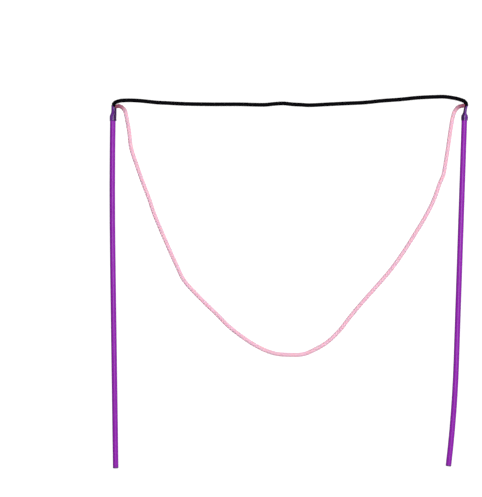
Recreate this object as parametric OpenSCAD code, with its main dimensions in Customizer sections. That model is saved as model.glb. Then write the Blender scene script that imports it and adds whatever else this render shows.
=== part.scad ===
// Bubble wand: two plastic rods whose tips are joined by a short cord and a long hanging cord.
// It lies flat, as on a table: X runs from tip to tip, -Y runs down the rods to the handle ends.

/* [Rods] */
// Length of each plastic tube
rod_length = 396.4; // [360:0.1:430]
// Outer diameter of the tube
rod_diameter = 6.5; // [6:0.1:7.5]
// Wall of the tube
rod_wall = 0.8; // [0.6:0.1:1.2]
// Length of the left rod's gentle bend, which starts at its tip
left_bend_length = 159; // [80:1:200]
// Angle of the left rod's bend, inwards
left_bend_angle = 1.7; // [0.4:0.1:4]
// Length of the right rod's bend, which ends at its handle end
right_bend_length = 118; // [80:1:200]
// Angle of the right rod's bend, inwards
right_bend_angle = 4.8; // [1:0.1:8]

/* [Set of the wands] */
// Distance between the points where the black cord leaves the two tips
tip_span = 399; // [390:0.5:410]
// Lean of the left rod at its tip, towards the other wand going down
left_rod_lean = -0.9; // [-2:0.1:2]
// Lean of the right rod at its tip, towards the other wand going down
right_rod_lean = 1.9; // [-2:0.1:3]
// Lean of the left neck, towards the other wand going down
left_neck_lean = -0.5; // [-4:0.1:2]
// Lean of the right neck, towards the other wand going down
right_neck_lean = 8; // [4:0.1:9]

/* [Tip sleeves] */
// Length of each shrunk sleeve, along the neck and the rod
sleeve_length = 15.9; // [15:0.1:20]
// Wall of the sleeve
sleeve_wall = 0.42; // [0.3:0.02:0.5]
// Distance from the cord's bending point to the left rod's tip
left_neck_length = 14.45; // [12:0.05:15]
// Distance from the cord's bending point to the right rod's tip
right_neck_length = 12.7; // [11:0.05:14]
// Width of the left neck, which holds its two cords loosely
left_neck_width = 5.75; // [5:0.05:6]
// Height of the left neck
left_neck_height = 5.6; // [5:0.1:6.4]
// Width of the right neck, which has shrunk to an oval round its two cords
right_neck_width = 3.9; // [3.6:0.1:5]
// Height of the right neck
right_neck_height = 6.2; // [5:0.1:6.4]
// How far the left neck stands inwards of the rod's axis
left_neck_shift = 1.05; // [0:0.05:1.2]
// How far the right neck stands inwards of the rod's axis
right_neck_shift = 0; // [-0.5:0.05:0.5]
// Length over which the left sleeve steps down from the rod to the neck
left_shoulder_length = 4.5; // [2.5:0.1:6]
// Length over which the right sleeve steps down from the rod to the neck
right_shoulder_length = 2.8; // [2.5:0.1:6]
// How far the mouth's inner edge lies below its middle, and its outer edge above
mouth_slant = 0.65; // [0:0.05:0.8]
// How far the mouth opens beyond the neck
mouth_flare = 0.1; // [0:0.05:0.3]
// How far the left sleeve's lip stands out, on the side towards the other wand
left_lip_height = 0.45; // [0:0.05:0.8]
// How far the right sleeve's lip stands out, on the side away from the other wand
right_lip_height = 0.35; // [0:0.05:0.8]
// Distance from the left rod's tip down to the middle of the lip
left_lip_depth = 4.4; // [2:0.1:5]
// Distance from the right rod's tip down to the middle of the lip
right_lip_depth = 2.4; // [2:0.1:5]
// Length of each lip along the rod
lip_length = 4.4; // [2:0.1:5]
// Angle round the sleeve over which each lip dies away
lip_spread = 110; // [60:5:160]

/* [End plugs] */
// Depth of the plug's stem in the tube
plug_stem = 8; // [4:0.5:15]
// Height of the plug's head below the tube
plug_head = 1.7; // [1:0.1:3]
// Rounding of the head's edge
plug_round = 0.9; // [0.3:0.1:1]

/* [Cords] */
// Diameter of the black cord
black_cord_diameter = 4; // [3:0.1:4.4]
// Diameter of the pink cord
pink_cord_diameter = 4.2; // [3:0.1:4.6]
// Depth of the cords' tails in the rod
tail_depth = 12; // [5:0.5:30]
// Sides of a cord's tube
cord_sides = 10; // [8:1:12]

/* [Fits] */
// Gap between a wand and the cord that it swings against
running_gap = 0.3; // [0.2:0.05:0.5]
// Gap between the sleeve and the rod, on the radius
sleeve_fit = 0.03; // [0.02:0.01:0.1]
// Gap between the plug and the tube, on the radius
plug_fit = 0.05; // [0.02:0.01:0.1]
// Gap between the tails and the neck, on the radius
tail_fit = 0.05; // [0.02:0.01:0.1]
// Gap between the two tails of a tip
tail_parting = 0.1; // [0.05:0.01:0.2]

/* [Hidden] */

rod_colour = [0.57, 0.22, 0.68];
plug_colour = [0.42, 0.15, 0.52];
sleeve_colour = [0.29, 0.14, 0.48];
black_colour = [0.05, 0.05, 0.06];
pink_colour = [0.93, 0.68, 0.76];

// Facets of round forms, which are exact circles in the finished solids
round_facets = 64;
bend_facets = 256;
$fn = round_facets;

rod_r = rod_diameter / 2;
bore_r = rod_r - rod_wall;
grip_bore_r = rod_r + sleeve_fit;
grip_r = grip_bore_r + sleeve_wall;

// The rods' centre lines lie as high as the sleeves are round, so the sleeves rest on the table
axis_z = grip_r;

// Where the black cord leaves the tips: the wands swing about these points
tip_middle_x = 1.5;
tip_y = 207.5;
left_pivot = [tip_middle_x - tip_span / 2, tip_y, axis_z];
right_pivot = [tip_middle_x + tip_span / 2, tip_y, axis_z];

// Where the pink cord starts: inwards of the black cord and a little lower
left_loop_inset = 5.5;
right_loop_inset = 5.2;
loop_drop = 2;
loop_left = left_pivot + [left_loop_inset, -loop_drop, 0];
loop_right = right_pivot + [-right_loop_inset, -loop_drop, 0];

// The mouth's middle lies so low that its outer edge clears the cord's round end on the swing axis
mouth_depth = black_cord_diameter / 2 + running_gap + mouth_slant;

// Sides of a lofted sleeve and of a tail's round face
sleeve_sides = 36;
tail_steps = 12;

// Steps along a sleeve's neck, shoulder and grip, and round a plug's edge
neck_steps = 5;
shoulder_steps = 8;
grip_steps = 6;
edge_steps = 6;

// Both cords lie on the table and rise to the tips over the first points of their routes
black_route = concat([left_pivot], [
    [-197, 209.2, 3.7], [-195, 210.2, 3.6], [-192.5, 211, 3.5], [-189, 211.7, 3.4], [-179, 212, 2.8],
    [-168.5, 211.5, 2.3], [-158.5, 210.5, 2], [-148.5, 209.5, 2], [-138, 209, 2],
    [-118, 208, 2], [-87.5, 207.5, 2], [-56.5, 207.5, 2], [-36.5, 207, 2],
    [-26, 207, 2], [-16, 208, 2], [-6, 208.5, 2], [4.5, 207.5, 2],
    [14.5, 207, 2], [24.5, 206.5, 2], [45, 207.5, 2], [65.5, 208.5, 2],
    [86, 209.5, 2], [106, 211.5, 2], [126.5, 213, 2], [146.5, 215, 2],
    [167, 216, 2.2], [177.5, 216, 2.6], [188, 214.4, 3.1], [193, 213.2, 3.4],
    [196.5, 212, 3.5], [198.8, 211, 3.6], [200.3, 209.4, 3.7]
], [right_pivot]);

pink_route = concat([loop_left], [
    [-189.5, 204.4, 3.6], [-187, 202.2, 3.5], [-184.8, 198, 3.4], [-181, 178, 2.6], [-178.5, 158, 2.1],
    [-172, 138, 2.1], [-165.5, 119.5, 2.1], [-158, 100, 2.1], [-151.5, 81, 2.1],
    [-135.5, 43.5, 2.1], [-127, 25, 2.1], [-117.5, 6.5, 2.1], [-97, -15.5, 2.1],
    [-82, -30, 2.1], [-68, -44, 2.1], [-52, -56.5, 2.1], [-34.5, -67.5, 2.1],
    [-15.5, -75, 2.1], [5, -76.5, 2.1], [15, -76, 2.1], [24.5, -73, 2.1],
    [42.5, -63, 2.1], [57.5, -49, 2.1], [70, -33, 2.1], [83, -17.5, 2.1],
    [110, 13, 2.1], [122.5, 29, 2.1], [134, 46, 2.1], [145, 63.5, 2.1],
    [155.5, 81, 2.1], [164.5, 99, 2.1], [171.5, 118.5, 2.1], [175.5, 128, 2.1],
    [179, 148, 2.1], [182, 168, 2.2], [185, 188, 2.9], [187.5, 198, 3.4],
    [189.8, 201.8, 3.6], [192.3, 204.4, 3.7]
], [loop_right]);

// Diameters of cord between one ring of its tube and the next
ring_spacing_share = 3;

// Sizes of one wand, in the order of the functions below
left_wand = [left_neck_length, left_neck_width, left_neck_height, left_neck_lean, left_neck_shift,
    left_shoulder_length, left_lip_height, left_lip_depth, true,
    left_rod_lean, left_bend_length, left_bend_angle, true];
right_wand = [right_neck_length, right_neck_width, right_neck_height, right_neck_lean, right_neck_shift,
    right_shoulder_length, right_lip_height, right_lip_depth, false,
    right_rod_lean, right_bend_length, right_bend_angle, false];

function neck_length(w) = w[0];
function neck_width(w) = w[1];
function neck_height(w) = w[2];
function neck_lean(w) = w[3];
function neck_shift(w) = w[4];
function shoulder_length(w) = w[5];
function lip_height(w) = w[6];
function lip_depth(w) = w[7];
function lip_inwards(w) = w[8];
function rod_lean(w) = w[9];
function bend_length(w) = w[10];
function bend_angle(w) = w[11];
// Whether the bend is at the tip, with the straight stretch below it, or at the handle end
function bend_at_tip(w) = w[12];
function bend_radius(w) = bend_length(w) / (bend_angle(w) * PI / 180);
function straight_length(w) = rod_length - bend_length(w);
function shoulder_top(w) = neck_length(w) - shoulder_length(w);
function grip_length(w) = mouth_depth + sleeve_length - neck_length(w);

// An even rise from 0 to 1, level at both ends
function ease(t) = let (u = min(max(t, 0), 1)) (1 - cos(180 * u)) / 2;

function mix(a, b, share) = a + (b - a) * share;

// Share of the way from the neck's form to the grip's, at a depth below the pivot
function grip_share(w, depth) = ease(1 - (neck_length(w) - depth) / shoulder_length(w));

// Share of the mouth's slant and flare that is left at a depth
function mouth_share(w, depth) = 1 - ease((depth - mouth_depth) / (shoulder_top(w) - mouth_depth));

// Each frame below holds its piece with the axis along -Y, and +X towards the other wand
module left_neck_frame() {
    translate(left_pivot) rotate([0, 0, left_neck_lean]) children();
}

module right_neck_frame() {
    translate(right_pivot) mirror([1, 0, 0]) rotate([0, 0, right_neck_lean]) children();
}

// From the pivot down the neck to the rod's tip, and round to the rod's own direction
module to_rod(w) {
    translate([-neck_shift(w), -neck_length(w), 0])
        rotate([0, 0, rod_lean(w) - neck_lean(w)]) children();
}

// The two stretches of a rod, each entered at its upper end
module past_straight(w) {
    translate([0, -straight_length(w), 0]) children();
}

module past_bend(w) {
    translate([bend_radius(w) * (1 - cos(bend_angle(w))), -bend_radius(w) * sin(bend_angle(w)), 0])
        rotate([0, 0, bend_angle(w)]) children();
}

// From the rod's tip to the place where its straight stretch and its bend meet
module to_junction(w) {
    if (bend_at_tip(w)) past_bend(w) children();
    else past_straight(w) children();
}

// From the rod's tip to its handle end
module to_handle_end(w) {
    to_junction(w)
        if (bend_at_tip(w)) past_straight(w) children();
        else past_bend(w) children();
}

// A solid turned from an outline of [radius, depth] points
module turned(outline) {
    rotate([90, 0, 0]) rotate_extrude() polygon(outline);
}

module ring(outer, inner) {
    difference() {
        circle(r = outer, $fn = round_facets);
        circle(r = inner, $fn = round_facets);
    }
}

module tube(outer, inner, from, to) {
    translate([0, -from, 0]) rotate([90, 0, 0]) linear_extrude(to - from) ring(outer, inner);
}

// The bend, from the junction towards -Y
module bend(w) {
    translate([bend_radius(w), 0, 0])
        rotate([0, 0, 180])
        rotate_extrude(angle = bend_angle(w), $fn = bend_facets)
        translate([bend_radius(w), 0])
        ring(rod_r, bore_r);
}

// A straight tube and a long gentle bend, both set out from the junction
module rod(w) {
    color(rod_colour) to_junction(w)
        if (bend_at_tip(w)) {
            mirror([0, 1, 0]) bend(w);
            tube(rod_r, bore_r, 0, straight_length(w));
        } else {
            tube(rod_r, bore_r, -straight_length(w), 0);
            bend(w);
        }
}

// A point inside a wand's tip, across and up from the middle line at a depth. The middle line leaves the
// neck's axis for the rod's over the shoulder, and depths near the mouth slant as the mouth does
function tip_point(w, depth, across, up) =
    let (share = grip_share(w, depth), turn = (rod_lean(w) - neck_lean(w)) * share,
        below = max(depth - neck_length(w), 0),
        slant = mouth_slant * mouth_share(w, depth) * across / (neck_width(w) / 2 + mouth_flare))
    [
        across * cos(turn) + below * sin(turn) - neck_shift(w) * share,
        across * sin(turn) - below * cos(turn) - min(depth, neck_length(w)) - slant,
        up
    ];

// How far a sleeve's lip stands out at a depth and an angle, which is 0 on the side away from the other wand
function lip(w, depth, angle) =
    let (facing = (lip_inwards(w) ? -1 : 1) * cos(angle), edge = cos(lip_spread / 2),
        off = abs(depth - neck_length(w) - lip_depth(w)))
    lip_height(w) * (1 - ease(2 * off / lip_length)) * ease((facing - edge) / (1 - edge));

// One oval ring round a sleeve's outside, or round its inside when it is set in by a wall
function sleeve_ring(w, depth, wall) =
    let (share = grip_share(w, depth), flare = mouth_flare * mouth_share(w, depth),
        half_width = mix(neck_width(w) / 2, grip_r, share) + flare - wall,
        half_height = mix(neck_height(w) / 2, grip_r, share) + flare - wall)
    [for (k = [0:sleeve_sides - 1])
        let (angle = 360 * k / sleeve_sides, stands = wall > 0 ? 0 : lip(w, depth, angle))
        tip_point(w, depth, -(half_width + stands) * cos(angle), (half_height + stands) * sin(angle))];

// Depths of a sleeve's rings down its neck and over its shoulder to the rod's tip, and down its grip
function neck_depths(w) = concat(
    [for (i = [0:neck_steps - 1]) mix(mouth_depth, shoulder_top(w), i / neck_steps)],
    [for (i = [0:shoulder_steps]) mix(shoulder_top(w), neck_length(w), i / shoulder_steps)]);
function grip_depths(w) = [for (i = [1:grip_steps]) neck_length(w) + grip_length(w) * i / grip_steps];

// Faces between rings of equally many points, counted from a first point, each ring and the next
function band(count, sides, closed) =
    [for (i = [0:count - (closed ? 1 : 2)], k = [0:sides - 1])
        let (next = (k + 1) % sides, from = i * sides, to = (i + 1) % count * sides)
        each [[from + k, to + k, to + next], [from + k, to + next, from + next]]];

// A solid lofted through rings. A hollow one joins its last ring to its first
module loft(rings, hollow) {
    sides = len(rings[0]);
    count = len(rings);
    ends = hollow ? [] : [[for (k = [0:sides - 1]) k], [for (k = [1:sides]) count * sides - k]];
    polyhedron(points = [for (r = rings) each r], faces = concat(band(count, sides, hollow), ends),
        convexity = 10);
}

// One shrunk sleeve: slanted mouth, oval free neck, shoulder over the rod's tip, and a grip with a lip
module sleeve(w) {
    depths = concat(neck_depths(w), grip_depths(w));
    last = len(depths) - 1;
    color(sleeve_colour) loft(concat(
        [for (d = depths) sleeve_ring(w, d, 0)],
        [for (i = [last:-1:0]) sleeve_ring(w, depths[i], sleeve_wall)]), true);
}

// One half round of a cord's tail, above or below the middle of the neck and of the rod's bore
function tail_ring(w, depth, upper) =
    let (share = grip_share(w, depth),
        half_width = mix(neck_width(w) / 2 - sleeve_wall, bore_r, share) - tail_fit,
        half_height = mix(neck_height(w) / 2 - sleeve_wall, bore_r, share) - tail_fit)
    [for (k = [0:tail_steps])
        let (angle = 180 * (upper ? k : tail_steps - k) / tail_steps,
            rise = max(half_height * sin(angle), tail_parting / 2))
        tip_point(w, depth, -half_width * cos(angle), upper ? rise : -rise)];

// One cord's tail, from the sleeve's mouth down into the rod
module tail(w, upper) {
    loft([for (d = concat(neck_depths(w), [neck_length(w) + tail_depth])) tail_ring(w, d, upper)], false);
}

// A plug for the handle end: a stem in the tube and a head with a rounded edge below it
module end_plug(w) {
    stem_r = bore_r - plug_fit;
    color(plug_colour) to_handle_end(w)
        turned(concat(
            [[0, -plug_stem], [stem_r, -plug_stem], [stem_r, 0], [rod_r, 0]],
            [for (i = [0:edge_steps])
                [rod_r - plug_round * (1 - cos(90 * i / edge_steps)),
                    plug_head - plug_round * (1 - sin(90 * i / edge_steps))]],
            [[0, plug_head]]));
}

function unit(v) = v / norm(v);

// A point on the smooth curve through b and c, at share t of the way
function between(a, b, c, d, t) =
    (2 * b + (c - a) * t + (2 * a - 5 * b + 4 * c - d) * t * t
        + (3 * b - a - 3 * c + d) * t * t * t) / 2;

// Centres of a tube's rings: the route's points, and more between points that are far apart
function centres(route, gap) =
    let (last = len(route) - 1, first_out = 2 * route[0] - route[1],
        last_out = 2 * route[last] - route[last - 1])
    [for (i = [0:last])
        let (next = route[min(i + 1, last)],
            steps = i == last ? 1 : max(1, ceil(norm(next - route[i]) / gap)))
        for (k = [0:steps - 1])
            between(i == 0 ? first_out : route[i - 1], route[i],
                i == last ? last_out : next,
                i >= last - 1 ? last_out : route[i + 2], k / steps)];

function heading(line, i) = unit(line[min(i + 1, len(line) - 1)] - line[max(i - 1, 0)]);

function ring_points(centre, along, radius, sides) =
    let (side = unit(cross(along, [0, 0, 1])), up = cross(side, along))
    [for (k = [0:sides - 1]) centre + radius * (cos(360 * k / sides) * side + sin(360 * k / sides) * up)];

// One closed tube with round ends, swept along a route
module cord(route, diameter, colour) {
    radius = diameter / 2;
    line = centres(route, ring_spacing_share * diameter);
    last = len(line) - 1;
    start = heading(line, 0);
    end = heading(line, last);
    rings = concat(
        [for (a = [60, 30]) ring_points(line[0] - radius * sin(a) * start, start, radius * cos(a), cord_sides)],
        [for (i = [0:last]) ring_points(line[i], heading(line, i), radius, cord_sides)],
        [for (a = [30, 60]) ring_points(line[last] + radius * sin(a) * end, end, radius * cos(a), cord_sides)]);
    count = len(rings);
    points = concat([for (r = rings) each r], [line[0] - radius * start, line[last] + radius * end]);
    faces = concat(
        band(count, cord_sides, false),
        [for (k = [0:cord_sides - 1]) [count * cord_sides, k, (k + 1) % cord_sides]],
        [for (k = [0:cord_sides - 1])
            let (a = (count - 1) * cord_sides)
            [count * cord_sides + 1, a + (k + 1) % cord_sides, a + k]]);
    color(colour) polyhedron(points = points, faces = faces, convexity = 10);
}

module left_rod() { left_neck_frame() to_rod(left_wand) rod(left_wand); }
module right_rod() { right_neck_frame() to_rod(right_wand) rod(right_wand); }
module left_tip_sleeve() { left_neck_frame() sleeve(left_wand); }
module right_tip_sleeve() { right_neck_frame() sleeve(right_wand); }
module left_end_plug() { left_neck_frame() to_rod(left_wand) end_plug(left_wand); }
module right_end_plug() { right_neck_frame() to_rod(right_wand) end_plug(right_wand); }
module left_black_tail() { color(black_colour) left_neck_frame() tail(left_wand, true); }
module left_pink_tail() { color(pink_colour) left_neck_frame() tail(left_wand, false); }
module right_black_tail() { color(black_colour) right_neck_frame() tail(right_wand, true); }
module right_pink_tail() { color(pink_colour) right_neck_frame() tail(right_wand, false); }
module black_cord() { cord(black_route, black_cord_diameter, black_colour); }
module pink_cord() { cord(pink_route, pink_cord_diameter, pink_colour); }

left_rod();
right_rod();
left_tip_sleeve();
right_tip_sleeve();
left_end_plug();
right_end_plug();
left_black_tail();
left_pink_tail();
right_black_tail();
right_pink_tail();
black_cord();
pink_cord();
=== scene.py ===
"""Dresses the bubble wand: braided cords, shrunk tip sleeves, plastic rods and end plugs, on a pale stage.

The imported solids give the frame, in metres: +X runs from the left tip to the right one, -Y runs down
the rods and +Z is up from the surface that the wand lies on.
"""

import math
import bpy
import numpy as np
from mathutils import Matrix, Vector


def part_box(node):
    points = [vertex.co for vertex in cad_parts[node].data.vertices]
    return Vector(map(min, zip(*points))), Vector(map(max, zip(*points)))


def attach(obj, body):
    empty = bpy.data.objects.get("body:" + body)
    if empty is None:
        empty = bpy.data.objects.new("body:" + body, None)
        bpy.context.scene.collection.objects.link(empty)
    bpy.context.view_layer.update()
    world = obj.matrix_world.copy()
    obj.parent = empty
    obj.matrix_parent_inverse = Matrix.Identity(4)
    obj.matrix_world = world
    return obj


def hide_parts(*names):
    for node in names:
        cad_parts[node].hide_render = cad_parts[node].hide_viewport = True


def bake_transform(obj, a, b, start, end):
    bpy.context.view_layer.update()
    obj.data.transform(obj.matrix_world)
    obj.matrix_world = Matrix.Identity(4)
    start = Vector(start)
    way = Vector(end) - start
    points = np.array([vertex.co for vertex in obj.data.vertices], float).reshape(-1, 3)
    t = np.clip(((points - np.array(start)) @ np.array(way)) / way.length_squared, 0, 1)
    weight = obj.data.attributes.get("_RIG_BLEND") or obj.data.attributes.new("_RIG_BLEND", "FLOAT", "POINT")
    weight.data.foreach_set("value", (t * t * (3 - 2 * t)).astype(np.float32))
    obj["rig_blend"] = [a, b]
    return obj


bl_info = {
    "name": "Bubble wand",
    "version": (1, 0, 0),
    "blender": (4, 5, 0),
    "location": "3D View > Sidebar > Bubble wand",
    "description": "Builds a bubble wand's braided cords, tip sleeves, rods and stage",
    "category": "Add Mesh",
}

from typing import NamedTuple

import bmesh
import bpy
from bpy.props import FloatProperty, FloatVectorProperty, IntProperty, PointerProperty
from mathutils import Vector, noise

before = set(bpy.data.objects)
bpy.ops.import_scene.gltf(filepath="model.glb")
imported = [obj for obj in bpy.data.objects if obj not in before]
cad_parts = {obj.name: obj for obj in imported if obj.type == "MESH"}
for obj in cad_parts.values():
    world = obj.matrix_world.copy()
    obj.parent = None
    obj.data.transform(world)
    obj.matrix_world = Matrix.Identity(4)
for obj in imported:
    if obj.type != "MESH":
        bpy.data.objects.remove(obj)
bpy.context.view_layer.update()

MM = 0.001

# The camera looks straight down. The picture's taller side gives its scale
PICTURE_HEIGHT = 497
MM_PER_PIXEL = 1.133
VIEW_CENTRE = Vector((-54.0, 44.05, 3.7)) * MM
CLIP_END = 20

# The floor's glow makes it white, and its paper keeps the object's shadow
WHITE = (1, 1, 1, 1)
PAPER_COLOUR = (0.8, 0.8, 0.8, 1)
GLOW_STRENGTH, GLOW_SHARE = 1.24, 0.75
FLOOR_HALF = 1.6

# The softboxes' places and sizes. The overhead one's height is a setting
OVERHEAD_PLACE, OVERHEAD_SIZE = (0.3, 0.1), (0.7, 0.4)
WINDOW_PLACE, WINDOW_SIZE = (1.3, 1.6, 1.9), (1.0, 1.0)

# Where the black cord bends at the left tip, and where the pink cord bends at each tip
LEFT_PIVOT = Vector((-198, 207.5, 3.7)) * MM
LOOP_LEFT = Vector((-192.5, 205.5, 3.7)) * MM
LOOP_RIGHT = Vector((195.8, 205.5, 3.7)) * MM
AXIS_HEIGHT = LEFT_PIVOT.z


class Bend(NamedTuple):
    """Where a cord's end bends, in millimetres: from the mouth on, and its seam with the free cord."""

    start: tuple
    end: tuple
    seam: tuple


class CordPlan(NamedTuple):
    """A cord's route in millimetres, from one sleeve's neck into the other's, and how it is drawn.

    The exit is where it leaves the left tip. The tail's lift is how far its middle is from the rod's axis,
    as a share of its height. The fullness is how much fuller the braid is drawn than its cord, because
    light passes between the yarns at its edges. The softness is how much the yarns' girth changes.
    """

    colour: str
    body: str
    exit_place: Vector
    in_left: list
    free: list
    in_right: list
    left_bend: Bend
    right_bend: Bend
    tail_lift: float
    fullness: float
    softness: float


# The free routes are the ones in the part's source
BLACK_CORD = CordPlan(
    colour="black",
    body="top_cord",
    exit_place=LEFT_PIVOT,
    in_left=[(-198, 202, 4.7), (-198.2, 204.2, 4.6), (-198.3, 206.2, 4.2), (-198, 207.9, 3.9)],
    free=[
        (-197, 209.2, 3.7), (-195, 210.2, 3.6), (-192.5, 211, 3.5), (-189, 211.7, 3.4), (-179, 212, 2.8),
        (-168.5, 211.5, 2.3), (-158.5, 210.5, 2), (-148.5, 209.5, 2), (-138, 209, 2),
        (-118, 208, 2), (-87.5, 207.5, 2), (-56.5, 207.5, 2), (-36.5, 207, 2),
        (-26, 207, 2), (-16, 208, 2), (-6, 208.5, 2), (4.5, 207.5, 2),
        (14.5, 207, 2), (24.5, 206.5, 2), (45, 207.5, 2), (65.5, 208.5, 2),
        (86, 209.5, 2), (106, 211.5, 2), (126.5, 213, 2), (146.5, 215, 2),
        (167, 216, 2.2), (177.5, 216, 2.6), (188, 214.4, 3.1), (193, 213.2, 3.4),
        (196.5, 212, 3.5), (198.8, 211, 3.6), (200.3, 209.4, 3.7),
    ],
    in_right=[(201.2, 207.7, 3.9), (201.2, 206.1, 4.2), (200.9, 204.1, 4.6), (200.5, 202, 4.7)],
    left_bend=Bend(start=(-198.3, 204.8, 3.9), end=(-196.3, 209.6, 3.9), seam=(-192.5, 211, 3.5)),
    right_bend=Bend(start=(201.1, 204.8, 3.9), end=(199.4, 209.7, 3.9), seam=(196.5, 212, 3.5)),
    tail_lift=0.42,
    fullness=1.23,
    softness=0.03,
)
PINK_CORD = CordPlan(
    colour="pink",
    body="loop_cord",
    exit_place=LOOP_LEFT,
    in_left=[(-197.8, 201.8, 2.7), (-197.2, 203.4, 2.9), (-195.2, 204.9, 3.4)],
    free=[
        LOOP_LEFT / MM,
        (-189.5, 204.4, 3.6), (-187, 202.2, 3.5), (-184.8, 198, 3.4), (-181, 178, 2.6), (-178.5, 158, 2.1),
        (-172, 138, 2.1), (-165.5, 119.5, 2.1), (-158, 100, 2.1), (-151.5, 81, 2.1),
        (-135.5, 43.5, 2.1), (-127, 25, 2.1), (-117.5, 6.5, 2.1), (-97, -15.5, 2.1),
        (-82, -30, 2.1), (-68, -44, 2.1), (-52, -56.5, 2.1), (-34.5, -67.5, 2.1),
        (-15.5, -75, 2.1), (5, -76.5, 2.1), (15, -76, 2.1), (24.5, -73, 2.1),
        (42.5, -63, 2.1), (57.5, -49, 2.1), (70, -33, 2.1), (83, -17.5, 2.1),
        (110, 13, 2.1), (122.5, 29, 2.1), (134, 46, 2.1), (145, 63.5, 2.1),
        (155.5, 81, 2.1), (164.5, 99, 2.1), (171.5, 118.5, 2.1), (175.5, 128, 2.1),
        (179, 148, 2.1), (182, 168, 2.2), (185, 188, 2.9), (187.5, 198, 3.4),
        (189.8, 201.8, 3.6), (192.3, 204.4, 3.7),
        LOOP_RIGHT / MM,
    ],
    in_right=[(198.2, 205.9, 3.5), (200, 205.1, 3), (200.5, 202.4, 2.7)],
    left_bend=Bend(start=(-197.3, 203, 3.3), end=(-195.2, 204.7, 3.3), seam=(-194, 205.2, 3.5)),
    right_bend=Bend(start=(200.4, 203.6, 3.3), end=(199.2, 205, 3.3), seam=(196.8, 205.7, 3.6)),
    tail_lift=-0.42,
    fullness=1.17,
    softness=0.12,
)

# The step of a cord's line, the step along its yarns, and how many of those make one step of its core
LINE_STEP, BRAID_STEP, CORE_STEPS = 1.0 * MM, 0.6 * MM, 4

# How many sides a yarn and the core have, and a yarn's size as a share of the cord's diameter
YARN_SIDES, CORE_SIDES = 7, 10
YARN_THICKNESS, YARN_WIDTH = 0.2, 0.42

# How far a yarn rises over a crossing, as a share of half its thickness, and how far below the cord's
# surface the yarns' middles and the core are, as shares of a yarn's thickness
WEAVE_LIFT, YARN_INSET, CORE_INSET = 0.62, 0.8, 0.95

# How fast the girth of the yarns changes along the cord, and how far apart they are in that change
SWELL_SCALE, SWELL_APART = 160.0, 0.37

# The mean of a noise, taken off where it adds and takes away alike
NOISE_MEAN = 0.5

# How thin the sleeves press the cords, as a share of their radius, and how far out of the necks they do
PINCHED_SHARE = 0.55
PINCH_FROM, PINCH_TO = 1 * MM, 5 * MM

# How far above the surface the middle of a cord stays, as a share of its drawn radius
CLEARANCE = 1.03

# Between which places along Y the sleeves' stations give the tails their course, in millimetres
NECK_FROM, NECK_TO = 193, 201

# The yarn's noises, in waves to the metre
FIBRE_SCALE, SHADE_SCALE = 3600.0, 120.0

# How the plies and the fibres share the yarn's relief, and how strongly a painted shade darkens its grooves
PLY_SHARE, FIBRE_SHARE, PAINTED_GROOVE_SHADE = 0.45, 0.55, 0.6

# How much each yarn's own shade adds to the slow changes of shade, and the mean of both together
YARN_SHADE, MEAN_SHADE = 0.35, 0.67

# The yarn's roughness, and how much the fibres add to it
YARN_ROUGHNESS, FIBRE_ROUGHNESS = 0.78, 0.15

# How far out of the sleeves the painted shade at a cord's ends starts to fade, and where it is gone
END_SHADE_FROM, END_SHADE_TO = 6 * MM, 21 * MM

# The plastic's noises, in waves to the metre, and how its streaks are drawn out along the piece
STREAK_SCALE, GRAIN_SCALE, RUB_SCALE = 900.0, 2600.0, 90.0
STREAK_STRETCH = (1.0, 0.03, 1.0)

# Where the streaks' noise starts to tint the plastic, and how strongly the rubbed spots do
STREAK_FROM, BLOTCH_SHARE = 0.35, 0.4

# How the streaks and the grain share the plastic's relief
STREAK_HEIGHT, GRAIN_HEIGHT = 0.7, 0.3

# Where the painted shade on a sleeve's inner side starts and where it is full, from -1 on its outer side to
# 1 on its inner one
PAINTED_SHADE_FROM, PAINTED_SHADE_TO = -0.25, 0.45

# How strongly the relief of every finish shows
BUMP_STRENGTH = 0.4

# How a CAD node's copy is merged and shaded
MERGE_DISTANCE = 0.001 * MM
SHARP_ANGLE = math.radians(30)


class SleevePlan(NamedTuple):
    """A tip sleeve, by its stations from the lower rim to the mouth, in millimetres.

    A station is its place along Y, its middle along X, its half width and its half height, read from the
    photograph's outline. The lean slants the mouth. Inwards is the way along X to the other wand.
    """

    side: str
    lean: float
    inwards: int
    stations: list


LEFT_SLEEVE = SleevePlan(
    side="left",
    lean=-0.7,
    inwards=1,
    stations=[
        (188.6, -198.95, 4.0, 3.7),
        (190.0, -199.0, 3.95, 3.7),
        (191.8, -199.0, 3.88, 3.7),
        (193.6, -198.95, 3.86, 3.68),
        (195.2, -198.7, 3.74, 3.62),
        (196.8, -198.3, 3.35, 3.2),
        (198.4, -198.05, 3.1, 2.9),
        (200.2, -197.95, 3.0, 2.8),
        (202.4, -197.95, 3.0, 2.8),
        (204.5, -198.0, 2.98, 2.85),
    ],
)
RIGHT_SLEEVE = SleevePlan(
    side="right",
    lean=0.42,
    inwards=-1,
    stations=[
        (189.1, 199.15, 3.8, 3.7),
        (190.6, 199.2, 3.85, 3.7),
        (192.3, 199.35, 4.0, 3.7),
        (193.9, 199.25, 3.75, 3.7),
        (194.9, 199.25, 3.68, 3.68),
        (196.0, 199.3, 2.95, 3.4),
        (197.2, 199.4, 2.35, 3.15),
        (198.4, 199.6, 2.12, 3.1),
        (200.6, 200.0, 2.05, 3.1),
        (203.0, 200.4, 2.05, 3.1),
        (205.5, 201.0, 2.3, 3.15),
    ],
)

# How finely the sleeves are drawn, where their slant starts and how it grows, and their shrink wrinkles
SLEEVE_SIDES, SLEEVE_STEP = 72, 0.25 * MM
SLANT_FROM, SLANT_POWER = 0.6, 1.5
CREASES_AROUND, CREASE_LENGTH = 1.3, 2.2 * MM


# Settings that a user would change


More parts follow.
